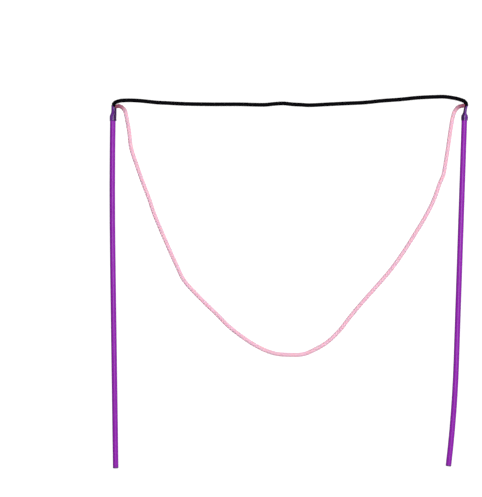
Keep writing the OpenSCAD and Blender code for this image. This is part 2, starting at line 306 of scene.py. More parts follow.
class CordSettings(bpy.types.PropertyGroup):
    """Sizes and colours of the two cords."""

    black_diameter: FloatProperty(
        name="Black cord diameter", description="Outer diameter of the taut cord",
        default=4.0 * MM, min=1 * MM, max=8 * MM, unit="LENGTH")
    pink_diameter: FloatProperty(
        name="Pink cord diameter", description="Outer diameter of the hanging cord",
        default=4.2 * MM, min=1 * MM, max=8 * MM, unit="LENGTH")
    black_length: FloatProperty(
        name="Black cord length", description="Free length from tip to tip",
        default=0.403, min=0.1, max=1, unit="LENGTH")
    pink_length: FloatProperty(
        name="Pink cord length", description="Free length from tip to tip",
        default=0.730, min=0.1, max=2, unit="LENGTH")
    black_yarns: IntProperty(
        name="Black yarns each way", description="Yarns of the braid that wind one way",
        default=4, min=2, max=8)
    pink_yarns: IntProperty(
        name="Pink yarns each way", description="Yarns of the braid that wind one way",
        default=4, min=2, max=8)
    black_lay: FloatProperty(
        name="Black lay", description="Length in which a yarn goes once round the cord",
        default=12 * MM, min=4 * MM, max=40 * MM, unit="LENGTH")
    pink_lay: FloatProperty(
        name="Pink lay", description="Length in which a yarn goes once round the cord",
        default=14 * MM, min=4 * MM, max=40 * MM, unit="LENGTH")
    black_colour: FloatVectorProperty(
        name="Black", description="Colour of the taut cord's yarn", subtype="COLOR",
        size=3, min=0, max=1, default=(0.0018, 0.0016, 0.0026))
    pink_colour: FloatVectorProperty(
        name="Pink", description="Colour of the hanging cord's yarn", subtype="COLOR",
        size=3, min=0, max=1, default=(0.95, 0.545, 0.68))
    # Painted shade: the hanging cord's dark colour near the sleeves' mouths, where the black cord and
    # sleeves shade it
    pink_end_shade: FloatVectorProperty(
        name="Pink at the sleeves", description="Colour of the hanging cord's stained ends",
        subtype="COLOR", size=3, min=0, max=1, default=(0.28, 0.06, 0.12))


class WandSettings(bpy.types.PropertyGroup):
    """Colours of the rods, end plugs and sleeves, the sleeves' thin wall and wrinkles, and the painted shade
    on the sleeves' inner side.
    """

    rod_colour: FloatVectorProperty(
        name="Rod", description="Colour of the plastic tubes", subtype="COLOR",
        size=3, min=0, max=1, default=(0.26, 0.014, 0.385))
    plug_colour: FloatVectorProperty(
        name="Plug", description="Colour of the end plugs", subtype="COLOR",
        size=3, min=0, max=1, default=(0.12, 0.018, 0.19))
    sleeve_colour: FloatVectorProperty(
        name="Sleeve", description="Colour of the shrunk sleeves", subtype="COLOR",
        size=3, min=0, max=1, default=(0.13, 0.016, 0.26))
    sleeve_wall: FloatProperty(
        name="Sleeve wall", description="Thickness of the shrunk sleeves",
        default=0.42 * MM, min=0.1 * MM, max=1 * MM, unit="LENGTH")
    # Painted shade: darkens the sleeves' whole inner side, towards the other wand, from rim to mouth
    inner_painted_shade: FloatProperty(
        name="Painted inner shade", description="How strongly the dark cord shows through the sleeves' inner side",
        default=0.8, min=0, max=1, subtype="FACTOR")
    wrinkle_depth: FloatProperty(
        name="Wrinkle depth", description="How deep the sleeves' shrink wrinkles are",
        default=0.08 * MM, min=0, max=0.5 * MM, unit="LENGTH")


class StageSettings(bpy.types.PropertyGroup):
    """The camera's distance, the floor's depth and the lights."""

    camera_distance: FloatProperty(
        name="Camera distance", description="Height of the camera above the wand",
        default=2.4, min=0.5, max=10, unit="LENGTH")
    key_power: FloatProperty(
        name="Overhead power", description="Power of the softbox above the wand",
        default=90, min=0, max=500, unit="POWER")
    key_height: FloatProperty(
        name="Overhead height", description="Height of the softbox above the wand",
        default=3.2, min=2.5, max=10, unit="LENGTH")
    window_power: FloatProperty(
        name="Window power", description="Power of the large softbox beyond the right tip",
        default=26, min=0, max=500, unit="POWER")
    floor_depth: FloatProperty(
        name="Floor depth",
        description="How far the floor is below the wand, which leaves room for the loop",
        default=0.3, min=0, max=2, unit="LENGTH")
    room_strength: FloatProperty(
        name="Room light", description="Brightness of the white room",
        default=0.05, min=0, max=2)


class BubbleWandSettings(bpy.types.PropertyGroup):
    """All the settings, by what they shape."""

    cords: PointerProperty(name="Cords", description="The two cords", type=CordSettings)
    wands: PointerProperty(name="Wands", description="The rods, plugs and sleeves", type=WandSettings)
    stage: PointerProperty(name="Stage", description="The camera, floor and lights", type=StageSettings)


# Node trees


class Nodes:
    """Adds nodes to a tree, one line for each."""

    def __init__(self, tree):
        self.tree = tree

    def add(self, kind, *inputs, **settings):
        """A node with its settings, and its inputs in their order. None leaves an input as it is."""
        node = self.tree.nodes.new(kind)
        for name, value in settings.items():
            setattr(node, name, value)
        for socket, value in zip((s for s in node.inputs if s.enabled), inputs):
            self.set(socket, value)
        return node

    def fill(self, node, inputs):
        """The node, with the named inputs set or linked."""
        for label, value in inputs.items():
            self.set(node.inputs[label], value)
        return node

    def set(self, socket, value):
        """Sets a socket to a plain value, or links it to another socket or to a node's first output."""
        if value is None:
            return
        if isinstance(value, bpy.types.Node):
            value = next(s for s in value.outputs if s.enabled)
        if isinstance(value, bpy.types.NodeSocket):
            self.tree.links.new(value, socket)
        else:
            socket.default_value = value

    def math(self, operation, *inputs):
        """The result of a sum, a product or the like."""
        return self.add("ShaderNodeMath", *inputs, operation=operation).outputs[0]

    def vector(self, operation, *inputs):
        """The result of a sum, a product or the like of vectors."""
        return self.add("ShaderNodeVectorMath", *inputs, operation=operation).outputs[0]

    def noise(self, place, scale, detail):
        """A noise over the place, with its scale in waves to the metre."""
        return self.add("ShaderNodeTexNoise", place, scale, detail).outputs[0]

    def mixed(self, share, first, second):
        """The colour at a share of the way from the first to the second."""
        return self.add("ShaderNodeMix", share, first, second, data_type="RGBA")

    def store(self, geometry, label, value, data_type="FLOAT", domain="POINT"):
        """The geometry, with a value stored as a named attribute."""
        node = self.add("GeometryNodeStoreNamedAttribute", geometry, data_type=data_type, domain=domain)
        return self.fill(node, {"Name": label, "Value": value})

    def capture(self, geometry, **fields):
        """Keeps fields, each a data type and a value, as they are at this point of the tree."""
        node = self.tree.nodes.new("GeometryNodeCaptureAttribute")
        for label, (data_type, _) in fields.items():
            node.capture_items.new(data_type, label)
        self.set(node.inputs["Geometry"], geometry)
        return self.fill(node, {label: value for label, (_, value) in fields.items()}).outputs

    def seen_rays(self):
        """1 for the rays of the camera, of reflections and through glass, and 0 for those that light."""
        rays = self.add("ShaderNodeLightPath").outputs
        indirect = self.math("MAXIMUM", rays["Is Glossy Ray"], rays["Is Transmission Ray"])
        return self.math("MAXIMUM", rays["Is Camera Ray"], indirect)


def new_group(name, kind, inputs, outputs):
    """A node group's nodes, given values and output node. An input is a name, a type and a default."""
    tree = bpy.data.node_groups.new(name, kind)
    for label, socket, default in inputs:
        made = tree.interface.new_socket(label, in_out="INPUT", socket_type=socket)
        if default is not None:
            made.default_value = default
    for label, socket in outputs:
        tree.interface.new_socket(label, in_out="OUTPUT", socket_type=socket)
    nodes = Nodes(tree)
    return nodes, nodes.add("NodeGroupInput").outputs, nodes.add("NodeGroupOutput")


def shared_group(name, make):
    """The node group of that name, made when it is first asked for."""
    return bpy.data.node_groups.get(name) or make(name)


def marked_route(n, given, along):
    """The route with the length from its start, and the length out of the nearer sleeve, at each point."""
    whole = n.add("GeometryNodeSplineLength").outputs["Length"]
    from_start = n.math("SUBTRACT", along, given["Held at start"])
    from_finish = n.math("SUBTRACT", n.math("SUBTRACT", whole, along), given["Held at finish"])
    route = n.store(given["Route"], "along", along)
    return n.store(route, "from_end", n.math("MINIMUM", from_start, from_finish))


def outward_way(n, angle):
    """The way from the curve's middle outwards, at an angle round it."""
    tangent = n.add("GeometryNodeInputTangent")
    normal = n.add("GeometryNodeInputNormal").outputs["Normal"]
    across = n.vector("CROSS_PRODUCT", tangent, normal)
    return n.vector(
        "ADD",
        n.vector("SCALE", normal, n.math("COSINE", angle)),
        n.vector("SCALE", across, n.math("SINE", angle)))


def yarn_radius(n, given, along, turns, way, index):
    """How far a yarn is from the cord's middle. It rises and falls once in two crossings.

    The two windings do so the other way round, and the girth of each yarn swells slowly on its own.
    """
    half_thickness = n.math("MULTIPLY", given["Yarn thickness"], 0.5)
    crossings = n.math("MULTIPLY", n.math("MULTIPLY", turns, given["Yarns each way"]), math.tau)
    weave = n.math("MULTIPLY", n.math("COSINE", crossings), way)
    lift = n.math("MULTIPLY", n.math("MULTIPLY", weave, half_thickness), WEAVE_LIFT)
    place = n.math("ADD", along, n.math("MULTIPLY", index, SWELL_APART))
    swell = n.add("ShaderNodeTexNoise", place, SWELL_SCALE, noise_dimensions="1D")
    soft = n.math("MULTIPLY", n.math("SUBTRACT", swell, NOISE_MEAN), given["Softness"])
    inset = n.math("MULTIPLY", given["Yarn thickness"], YARN_INSET)
    middle = n.math("MULTIPLY", n.math("SUBTRACT", given["Cord radius"], inset), n.math("ADD", soft, 1))
    return n.math("ADD", middle, lift)


def braided_yarns(n, given, route, along, pinch):
    """The yarns of a braid. Half of them wind one way and half the other."""
    line = n.fill(n.add("GeometryNodeResampleCurve", route, mode="LENGTH"), {"Length": given["Step"]})
    line = n.add("GeometryNodeSetCurveNormal", line, mode="MINIMUM_TWIST")
    yarns = n.add("GeometryNodeDuplicateElements", line, domain="SPLINE")
    n.fill(yarns, {"Amount": n.math("MULTIPLY", given["Yarns each way"], 2)})
    index = yarns.outputs["Duplicate Index"]
    way = n.math("SUBTRACT", n.math("MULTIPLY", n.math("MODULO", index, 2), 2), 1)
    carrier = n.math("FLOOR", n.math("DIVIDE", index, 2))
    turns = n.math("DIVIDE", along, given["Lay"])
    start = n.math("DIVIDE", carrier, given["Yarns each way"])
    angle = n.math("MULTIPLY", n.math("MULTIPLY_ADD", way, turns, start), math.tau)
    radius = n.math("MULTIPLY", yarn_radius(n, given, along, turns, way, index), pinch)
    kept = n.capture(
        yarns.outputs["Geometry"],
        Outward=("VECTOR", outward_way(n, angle)), Along=("FLOAT", along), Yarn=("FLOAT", index))
    moved = n.add("GeometryNodeSetPosition", kept["Geometry"])
    n.fill(moved, {"Offset": n.vector("SCALE", kept["Outward"], radius)})
    turned = n.add("GeometryNodeSetCurveNormal", moved, mode="FREE")
    n.fill(turned, {"Normal": kept["Outward"]})

    # A yarn is a circle one across, scaled to an oval that lies flat against the cord. Its seam is hidden
    circle = n.add("GeometryNodeCurvePrimitiveCircle", mode="RADIUS")
    n.fill(circle, {"Resolution": given["Yarn sides"], "Radius": 0.5})
    around = n.capture(circle, Around=("FLOAT", n.add("GeometryNodeSplineParameter").outputs["Factor"]))
    size = n.add("ShaderNodeCombineXYZ", given["Yarn thickness"], given["Yarn width"], 1.0)
    oval = n.add("GeometryNodeTransform", around["Geometry"])
    n.fill(oval, {"Scale": size, "Rotation": (0, 0, math.pi)})
    tubes = n.add("GeometryNodeCurveToMesh", turned, oval)
    n.fill(tubes, {"Fill Caps": True, "Scale": pinch})
    place = n.add("ShaderNodeCombineXYZ", around["Around"], kept["Along"])
    return n.store(n.store(tubes, "yarn_map", place, "FLOAT2", "CORNER"), "yarn", kept["Yarn"])


def braid_core(n, given, route, pinch):
    """A round core, which closes the gaps between the yarns."""
    line = n.add("GeometryNodeResampleCurve", route, mode="LENGTH")
    n.fill(line, {"Length": n.math("MULTIPLY", given["Step"], CORE_STEPS)})
    inset = n.math("MULTIPLY", given["Yarn thickness"], CORE_INSET)
    ring = n.add("GeometryNodeCurvePrimitiveCircle", mode="RADIUS")
    n.fill(ring, {"Resolution": CORE_SIDES, "Radius": n.math("SUBTRACT", given["Cord radius"], inset)})
    return n.fill(n.add("GeometryNodeCurveToMesh", line, ring), {"Fill Caps": True, "Scale": pinch})


def braid_tree(name):
    """Yarns that wind both ways round a curve and pass over and under each other, on a round core."""
    n, given, result = new_group(
        name, "GeometryNodeTree",
        [
            ("Route", "NodeSocketGeometry", None),
            ("Yarns each way", "NodeSocketInt", 4),
            ("Cord radius", "NodeSocketFloat", 2 * MM),
            ("Lay", "NodeSocketFloat", 12 * MM),
            ("Yarn thickness", "NodeSocketFloat", 0.8 * MM),
            ("Yarn width", "NodeSocketFloat", 1.7 * MM),
            ("Yarn sides", "NodeSocketInt", YARN_SIDES),
            ("Step", "NodeSocketFloat", BRAID_STEP),
            ("Softness", "NodeSocketFloat", 0.05),
            ("Held at start", "NodeSocketFloat", 0.0),
            ("Held at finish", "NodeSocketFloat", 0.0),
            ("Material", "NodeSocketMaterial", None),
        ],
        [("Cord", "NodeSocketGeometry")])
    along = n.add("GeometryNodeSplineParameter").outputs["Length"]
    pinch = n.add("GeometryNodeInputRadius").outputs["Radius"]
    route = marked_route(n, given, along)
    both = n.add("GeometryNodeJoinGeometry")
    for layer in (braid_core(n, given, route, pinch), braided_yarns(n, given, route, along, pinch)):
        n.tree.links.new(layer.outputs[0], both.inputs[0])
    real = n.add("GeometryNodeRealizeInstances", n.add("GeometryNodeSetShadeSmooth", both))
    finished = n.fill(n.add("GeometryNodeSetMaterial", real), {"Material": given["Material"]})
    n.fill(result, {"Cord": finished})
    return n.tree


LOOK_OUTPUTS = [
    ("Colour", "NodeSocketColor"),
    ("Height", "NodeSocketFloat"),
    ("Roughness", "NodeSocketFloat"),
]


def yarn_group(name):
    """Plied yarn: fine slanting plies, loose fibres, slow changes of tone, painted shade in grooves and at
    the ends.
    """
    n, given, result = new_group(
        name, "ShaderNodeTree",
        [
            ("Colour", "NodeSocketColor", (0.5, 0.5, 0.5, 1)),
            ("Groove shade and dark tone colour", "NodeSocketColor", (0.2, 0.2, 0.2, 1)),
            ("Plies", "NodeSocketFloat", 3.0),
            ("Ply slope", "NodeSocketFloat", 900.0),
            ("Shade change", "NodeSocketFloat", 0.2),
            ("Painted end shade colour", "NodeSocketColor", (0.2, 0.2, 0.2, 1)),
            ("End from", "NodeSocketFloat", END_SHADE_FROM),
            ("End to", "NodeSocketFloat", END_SHADE_TO),
        ],
        LOOK_OUTPUTS)
    place = n.add("ShaderNodeSeparateXYZ", n.add("ShaderNodeUVMap", uv_map="yarn_map")).outputs
    around = n.math("MULTIPLY", place["X"], given["Plies"])
    slanted = n.math("MULTIPLY_ADD", place["Y"], given["Ply slope"], around)
    ply = n.math("MULTIPLY_ADD", n.math("SINE", n.math("MULTIPLY", slanted, math.tau)), 0.5, 0.5)
    object_place = n.add("ShaderNodeTexCoord").outputs["Object"]
    fibre = n.noise(object_place, FIBRE_SCALE, detail=3.0)
    slow = n.noise(object_place, SHADE_SCALE, detail=2.0)
    yarn = n.add("ShaderNodeAttribute", attribute_name="yarn").outputs["Fac"]
    each = n.add("ShaderNodeTexWhiteNoise", yarn, noise_dimensions="1D").outputs["Value"]
    depth = n.math("MULTIPLY_ADD", ply, PLY_SHARE, n.math("MULTIPLY", fibre, FIBRE_SHARE))
    tone = n.math("ADD", slow, n.math("MULTIPLY", each, YARN_SHADE))
    tone = n.math("MULTIPLY", n.math("SUBTRACT", tone, MEAN_SHADE), given["Shade change"])
    # Painted shade: the yarn's colour darkens with the depth of its relief, on top of its random tone
    groove_shade = n.math("MULTIPLY_ADD", depth, PAINTED_GROOVE_SHADE, 1 - PAINTED_GROOVE_SHADE)
    share = n.add("ShaderNodeClamp", n.math("ADD", groove_shade, tone))
    colour = n.mixed(share, given["Groove shade and dark tone colour"], given["Colour"])
    # Painted shade at the ends, which fades out of the sleeves
    reach = n.add("ShaderNodeAttribute", attribute_name="from_end").outputs["Fac"]
    unshaded = n.add(
        "ShaderNodeMapRange", reach, given["End from"], given["End to"], interpolation_type="SMOOTHSTEP")
    n.fill(result, {
        "Colour": n.mixed(unshaded, given["Painted end shade colour"], colour),
        "Height": depth,
        "Roughness": n.math("MULTIPLY_ADD", fibre, FIBRE_ROUGHNESS, YARN_ROUGHNESS),
    })
    return n.tree


def plastic_group(name):
    """Drawn or shrunk plastic: streaks along the piece, a fine grain, and rubbed spots that shine less.

    Where the piece has the attribute "inner", the side towards the other wand may be darkened by a painted
    shade.
    """
    n, given, result = new_group(
        name, "ShaderNodeTree",
        [
            ("Colour", "NodeSocketColor", (0.5, 0.5, 0.5, 1)),
            ("Streak colour", "NodeSocketColor", (0.2, 0.2, 0.2, 1)),
            ("Streaks", "NodeSocketFloat", 0.4),
            ("Gloss roughness", "NodeSocketFloat", 0.25),
            ("Rubbing", "NodeSocketFloat", 0.15),
            ("Painted inner shade colour", "NodeSocketColor", (0.05, 0.05, 0.05, 1)),
            ("Painted inner shade share", "NodeSocketFloat", 0.0),
        ],
        LOOK_OUTPUTS)
    object_place = n.add("ShaderNodeTexCoord").outputs["Object"]
    stretched = n.fill(n.add("ShaderNodeMapping", object_place), {"Scale": STREAK_STRETCH})
    streak = n.noise(stretched, STREAK_SCALE, detail=3.0)
    grain = n.noise(object_place, GRAIN_SCALE, detail=2.0)
    rubbed = n.noise(object_place, RUB_SCALE, detail=4.0)
    streaky = n.math("MULTIPLY", n.math("SUBTRACT", streak, STREAK_FROM), given["Streaks"])
    blotchy = n.math("MULTIPLY", n.math("SUBTRACT", rubbed, NOISE_MEAN), BLOTCH_SHARE)
    share = n.add("ShaderNodeClamp", n.math("ADD", streaky, blotchy))
    colour = n.mixed(share, given["Colour"], given["Streak colour"])
    # The painted shade on a sleeve's inner side
    inner = n.add("ShaderNodeAttribute", attribute_name="inner").outputs["Fac"]
    painted_shade = n.add(
        "ShaderNodeMapRange", inner, PAINTED_SHADE_FROM, PAINTED_SHADE_TO, 0.0, given["Painted inner shade share"],
        interpolation_type="SMOOTHSTEP")
    n.fill(result, {
        "Colour": n.mixed(painted_shade, colour, given["Painted inner shade colour"]),
        "Height": n.math("MULTIPLY_ADD", streak, STREAK_HEIGHT, n.math("MULTIPLY", grain, GRAIN_HEIGHT)),
        "Roughness": n.math("MULTIPLY_ADD", rubbed, given["Rubbing"], given["Gloss roughness"]),
    })
    return n.tree


def finish_material(name, group, look_values, bump_distance, shader_values):
    """A material whose group gives the colour, roughness and height, and whose shader has plain values."""
    material = bpy.data.materials.new(name)
    material.use_nodes = True
    material.node_tree.nodes.clear()
    n = Nodes(material.node_tree)
    look = n.fill(n.add("ShaderNodeGroup", node_tree=group), look_values)
    bump = n.fill(n.add("ShaderNodeBump"), {
        "Strength": BUMP_STRENGTH, "Distance": bump_distance, "Height": look.outputs["Height"]})
    shader = n.fill(n.add("ShaderNodeBsdfPrincipled"), {
        "Base Color": look.outputs["Colour"], "Roughness": look.outputs["Roughness"], "Normal": bump,
        **shader_values})
    n.add("ShaderNodeOutputMaterial", shader)
    return material


def opaque(colour, scale=1.0):
    """A setting's colour as a node takes it, made darker or lighter."""
    return (*(c * scale for c in colour), 1.0)


# Shapes


def between(a, b, c, d, t):
    """A point on the smooth curve through b and c, at share t of the way."""
    return (2 * b + (c - a) * t + (2 * a - 5 * b + 4 * c - d) * t * t
            + (3 * b - a - 3 * c + d) * t * t * t) / 2


def smooth_line(points, step):
    """Points about a step apart on the smooth curve through the given ones."""
    points = [Vector(p) for p in points]
    ends = [2 * points[0] - points[1], *points, 2 * points[-1] - points[-2]]
    line = []
    for a, b, c, d in zip(ends, ends[1:], ends[2:], ends[3:]):
        count = max(1, math.ceil((c - b).length / step))
        line += [between(a, b, c, d, i / count) for i in range(count)]
    return [*line, points[-1]]


def smooth_share(value, low, high):
    """0 below the low value and 1 above the high one, with a smooth rise between them."""
    t = min(1, max(0, (value - low) / (high - low)))
    return t * t * (3 - 2 * t)


def lengths_along(line):
    """The length from the line's start to each of its points."""
    lengths = [0.0]
    for a, b in zip(line, line[1:]):
        lengths.append(lengths[-1] + (b - a).length)
    return lengths


def length_at(line, place):
    """The length from the line's start to its point nearest the place."""
    nearest = min(range(len(line)), key=lambda i: (line[i] - place).length)
    return lengths_along(line)[nearest]


def add_object(name, data):
    """Adds an object to the scene."""
    made = bpy.data.objects.new(name, data)
    bpy.context.scene.collection.objects.link(made)
    return made


def pinched_curve(name, line, held):
    """A curve whose points carry the share of the cord's radius that the sleeves leave it.

    The sleeves hold the given length at the start and at the finish.
    """
    curve = bpy.data.curves.new(name, "CURVE")
    curve.dimensions = "3D"
    spline = curve.splines.new("POLY")
    spline.points.add(len(line) - 1)
    spline.points.foreach_set("co", [x for p in line for x in (*p, 1)])
    lengths = lengths_along(line)
    for point, along in zip(spline.points, lengths):
        out = min(along - held[0], lengths[-1] - held[1] - along)
        point.radius = PINCHED_SHARE + (1 - PINCHED_SHARE) * smooth_share(out, PINCH_FROM, PINCH_TO)
    return add_object(name, curve)


def part_of(piece, name, low, high):
    """A closed copy of a braid's faces from one length along it to another."""
    mesh = piece.data.copy()
    mesh.name = name
    shape = bmesh.new()
    shape.from_mesh(mesh)
    along = shape.verts.layers.float["along"]
    outside = [f for f in shape.faces if not low <= sum(v[along] for v in f.verts) / len(f.verts) < high]
    bmesh.ops.delete(shape, geom=outside, context="FACES")
    bmesh.ops.holes_fill(shape, edges=[e for e in shape.edges if e.is_boundary], sides=0)
    shape.to_mesh(mesh)
    shape.free()
    return add_object(name, mesh)


def mesh_from_tree(piece, tree, inputs):
    """Runs a Geometry Nodes tree on the piece and gives a plain mesh object of the same name."""
    name = piece.name
    modifier = piece.modifiers.new("Tree", "NODES")
    modifier.node_group = tree
    for item in tree.interface.items_tree:
        if item.item_type == "SOCKET" and item.in_out == "INPUT" and item.name in inputs:
            modifier[item.identifier] = inputs[item.name]
    graph = bpy.context.evaluated_depsgraph_get()
    mesh = bpy.data.meshes.new_from_object(piece.evaluated_get(graph), depsgraph=graph)
    piece.modifiers.remove(modifier)
    bpy.data.objects.remove(piece)
    if not mesh.polygons:
        raise RuntimeError(f"{name}: the tree made no faces")
    mesh.name = name
    return add_object(name, mesh)


def closed_loft(name, rings):
    """A mesh through rings of equally many points, which joins its last ring to its first."""
    sides, count = len(rings[0]), len(rings)
    faces = []
    for i in range(count):
        low, high = i * sides, (i + 1) % count * sides
        faces += [(low + k, low + (k + 1) % sides, high + (k + 1) % sides, high + k) for k in range(sides)]
    mesh = bpy.data.meshes.new(name)
    mesh.from_pydata([p for ring in rings for p in ring], [], faces)
    shape = bmesh.new()
    shape.from_mesh(mesh)
    bmesh.ops.recalc_face_normals(shape, faces=shape.faces)
    shape.to_mesh(mesh)
    shape.free()
    mesh.shade_smooth()
    return add_object(name, mesh)


def copy_of_node(name, node):
    """A merged, smooth-shaded copy of a CAD node, which stands for it."""
    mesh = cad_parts[node].data.copy()
    mesh.name = name
    mesh.materials.clear()
    shape = bmesh.new()
    shape.from_mesh(mesh)
    bmesh.ops.remove_doubles(shape, verts=shape.verts, dist=MERGE_DISTANCE)
    shape.to_mesh(mesh)
    shape.free()
    mesh.shade_smooth()
    mesh.set_sharp_from_angle(angle=SHARP_ANGLE)
    made = add_object(name, mesh)
    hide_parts(node)
    return made


# Operators


class STAGE_OT_build(bpy.types.Operator):
    """Adds the camera over the wand, the pale floor and the soft lights"""

    bl_idname = "bubble_wand.stage"
    bl_label = "Stage"

    def execute(self, context):
        settings = context.scene.bubble_wand.stage
        scene = context.scene
        scene.view_settings.view_transform = "Standard"
        self.add_camera(scene, settings)
        self.add_floor(settings)
        self.add_room(scene, settings)
        self.add_softbox(
            "overhead_softbox", (*OVERHEAD_PLACE, settings.key_height), OVERHEAD_SIZE, settings.key_power)
        self.add_softbox("window_softbox", WINDOW_PLACE, WINDOW_SIZE, settings.window_power)
        return {"FINISHED"}

    def add_camera(self, scene, settings):
        """Adds a camera that looks straight down and takes in the photograph's frame."""
        data = bpy.data.cameras.new("camera")
        half_height = PICTURE_HEIGHT * MM_PER_PIXEL * MM / 2
        data.lens = data.sensor_width / 2 * settings.camera_distance / half_height
        data.clip_end = CLIP_END
        camera = add_object("camera", data)
        camera.location = VIEW_CENTRE + Vector((0, 0, settings.camera_distance))
        scene.camera = camera

    def add_floor(self, settings):
        """Adds the floor, well below the wand, so that the loop has room to swing down."""
        half, height = FLOOR_HALF, -settings.floor_depth
        mesh = bpy.data.meshes.new("floor")
        corners = [(x, y, height) for x, y in ((-half, -half), (half, -half), (half, half), (-half, half))]
        mesh.from_pydata(corners, [], [(0, 1, 2, 3)])
        floor = add_object("floor", mesh)
        material = bpy.data.materials.new("pale_floor")
        material.use_nodes = True
        n = Nodes(material.node_tree)
        n.tree.nodes.clear()
        paper = n.add("ShaderNodeBsdfDiffuse", PAPER_COLOUR)
        glow = n.add("ShaderNodeEmission", WHITE, GLOW_STRENGTH)
        share = n.math("MULTIPLY", n.seen_rays(), GLOW_SHARE)
        n.add("ShaderNodeOutputMaterial", n.add("ShaderNodeMixShader", share, paper, glow))
        mesh.materials.append(material)

    def add_room(self, scene, settings):
        """Sets a world that is seen as white and lights the wand only a little."""
        world = bpy.data.worlds.new("white_room")
        scene.world = world
        world.use_nodes = True
        n = Nodes(world.node_tree)
        n.tree.nodes.clear()
        seen = n.math("MULTIPLY", n.seen_rays(), 1 - settings.room_strength)
        strength = n.math("ADD", seen, settings.room_strength)
        n.add("ShaderNodeOutputWorld", n.add("ShaderNodeBackground", WHITE, strength))

    def add_softbox(self, name, place, size, power):
        """Adds a softbox that faces the middle between the wands."""
        box = bpy.data.lights.new(name, "AREA")
        box.energy = power
        box.shape = "RECTANGLE"
        box.size, box.size_y = size
        lamp = add_object(name, box)
        lamp.location = place
        lamp.rotation_mode = "QUATERNION"
        lamp.rotation_quaternion = (-lamp.location).to_track_quat("-Z", "Y")


class CORDS_OT_build(bpy.types.Operator):
    """Braids the taut black cord and the hanging pink cord, with their ends in the sleeves and rods"""

    bl_idname = "bubble_wand.cords"
    bl_label = "Cords"

    def execute(self, context):
        settings = context.scene.bubble_wand.cords
        self.add_cord(BLACK_CORD, settings, self.black_yarn(settings))
        self.add_cord(PINK_CORD, settings, self.pink_yarn(settings))
        return {"FINISHED"}

    def black_yarn(self, settings):
        """Nearly black yarn that hardly shines."""
        return finish_material(
            "black_yarn", shared_group("Plied yarn", yarn_group),
            {"Colour": opaque(settings.black_colour, scale=1.5),
             "Groove shade and dark tone colour": opaque(settings.black_colour, scale=0.4),
             # Painted shade: the ends near the sleeves a little darker
             "Painted end shade colour": opaque(settings.black_colour),
             "Plies": 2.0, "Ply slope": 1100.0, "Shade change": 0.5},
            bump_distance=0.12 * MM, shader_values={"Specular IOR Level": 0.03})

    def pink_yarn(self, settings):
        """Soft pastel yarn that lets a little light in, with a painted shade at its ends."""
        return finish_material(
            "pink_yarn", shared_group("Plied yarn", yarn_group),
            {"Colour": opaque(settings.pink_colour),
             "Groove shade and dark tone colour": opaque(settings.pink_colour, scale=0.8),
             "Painted end shade colour": opaque(settings.pink_end_shade),
             "Plies": 2.0, "Ply slope": 800.0, "Shade change": 0.3},
            bump_distance=0.12 * MM,
            shader_values={
                "Specular IOR Level": 0.15, "Sheen Weight": 0.1, "Sheen Roughness": 0.6,
                "Subsurface Weight": 0.15, "Subsurface Scale": 0.8 * MM})

    def tail(self, plan, sleeve):
        """The route of an end that is held, from its foot in the rod up the sleeve's neck."""
        low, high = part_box(f"{sleeve.side}_{plan.colour}_tail")
        middle = AXIS_HEIGHT + (high.z - low.z) * plan.tail_lift
        foot = Vector((sleeve.stations[0][1] * MM, low.y, middle))
        neck = [(x, y) for y, x, _, _ in sleeve.stations if NECK_FROM < y < NECK_TO]
        return [foot, *(Vector((x * MM, y * MM, middle)) for x, y in neck)]

    def braid(self, plan, settings, material, line, held):
        """The whole braid, from its foot in one rod to its foot in the other."""
        diameter = getattr(settings, f"{plan.colour}_diameter")
        curve = pinched_curve("braid", line, held)
        return mesh_from_tree(curve, shared_group("Braided cord", braid_tree), {
            "Yarns each way": getattr(settings, f"{plan.colour}_yarns"),
            "Cord radius": diameter / 2 * plan.fullness,
            "Lay": getattr(settings, f"{plan.colour}_lay"),
            "Yarn thickness": diameter * YARN_THICKNESS,
            "Yarn width": diameter * YARN_WIDTH,
            "Yarn sides": YARN_SIDES,
            "Step": BRAID_STEP,
            "Softness": plan.softness,
            "Held at start": held[0],
            "Held at finish": held[1],
            "Material": material,
        })

    def add_cord(self, plan, settings, material):
        """Braids a cord in one go, and parts it into the free cord and the two ends that bend."""
        colour, bends = plan.colour, (plan.left_bend, plan.right_bend)
        diameter = getattr(settings, f"{colour}_diameter")
        length = getattr(settings, f"{colour}_length")
        route = [Vector(p) * MM for p in (*plan.in_left, *plan.free, *plan.in_right)]
        line = [*self.tail(plan, LEFT_SLEEVE), *route, *reversed(self.tail(plan, RIGHT_SLEEVE))]
        lowest = diameter / 2 * plan.fullness * CLEARANCE
        line = [Vector((p.x, p.y, max(p.z, lowest))) for p in smooth_line(line, LINE_STEP)]
        whole = lengths_along(line)[-1]
        held = length_at(line, route[0]), whole - length_at(line, route[-1])
        braid = self.braid(plan, settings, material, line, held)
        seams = [length_at(line, Vector(bend.seam) * MM) for bend in bends]
        piece = part_of(braid, f"{colour}_braid", *seams)
        ends = [part_of(braid, f"left_{colour}_end", -math.inf, seams[0]),
                part_of(braid, f"right_{colour}_end", seams[1], math.inf)]
        bpy.data.objects.remove(braid)
        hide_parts(f"{colour}_cord")
        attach(piece, plan.body)
        for side, end, bend in zip(("left", "right"), ends, bends):
            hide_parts(f"{side}_{colour}_tail")
            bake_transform(end, f"{side}_wand", "top_cord",
                     start=Vector(bend.start) * MM, end=Vector(bend.end) * MM)


